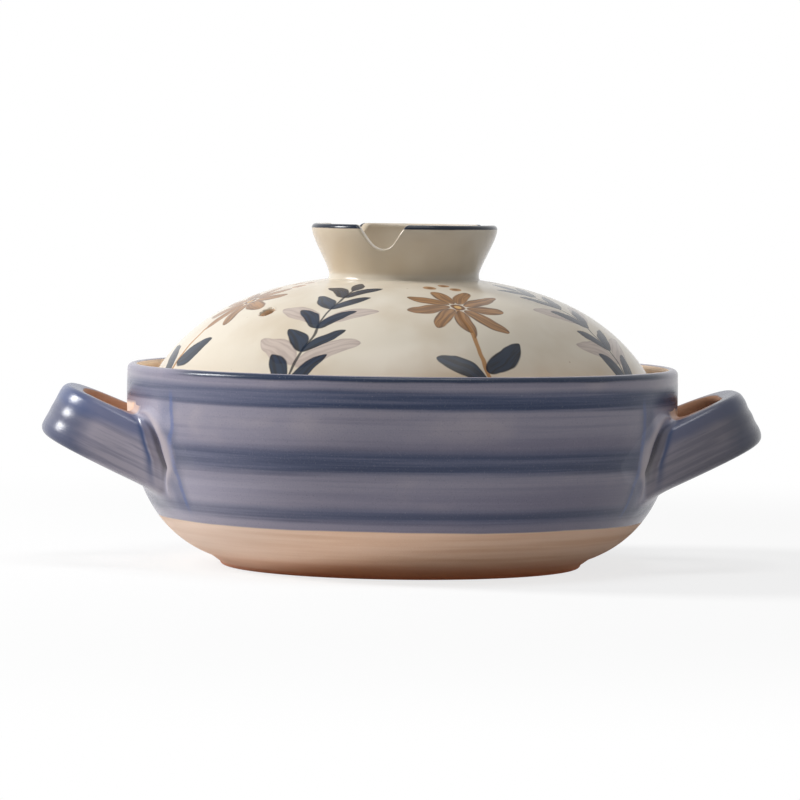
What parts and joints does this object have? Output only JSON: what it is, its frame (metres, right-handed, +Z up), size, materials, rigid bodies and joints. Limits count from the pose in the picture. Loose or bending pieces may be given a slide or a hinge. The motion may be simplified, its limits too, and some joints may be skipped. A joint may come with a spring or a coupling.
{
  "type": "lidded clay pot",
  "caption": "Round glazed stoneware cooking pot on a foot ring, with looped side handles and a domed, vented lid that sits inside the rim and lifts off by a hollow, notched crown.",
  "frame": {"origin": "on the axis of the pot, in the plane of the foot ring's underside", "axes": "+Z up along the axis of the pot, +X towards the right handle, and the front of the pot, with the steam hole and one notch of the crown left of its middle, faces -Y"},
  "size_m": [0.3166, 0.2422, 0.15],
  "materials": {
    "bowl_glaze": "brushed bands of blue and grey-lilac under a gloss glaze, with bare tan clay below the glaze line and inside the handles",
    "lid_glaze": "warm cream gloss glaze over hand-painted plant ornament in ochre, brown and navy"
  },
  "bodies": {
    "pot": {"pot_bowl": "bowl_glaze", "left_handle": "bowl_glaze", "right_handle": "bowl_glaze"},
    "lid": {"lid_dome": "lid_glaze", "lid_crown": "lid_glaze"}
  },
  "joints": [
    {"name": "lid_lift", "type": "slide", "parent": "pot", "child": "lid", "axis": [0, 0, 1], "range_m": [0, 0.15]}
  ]
}
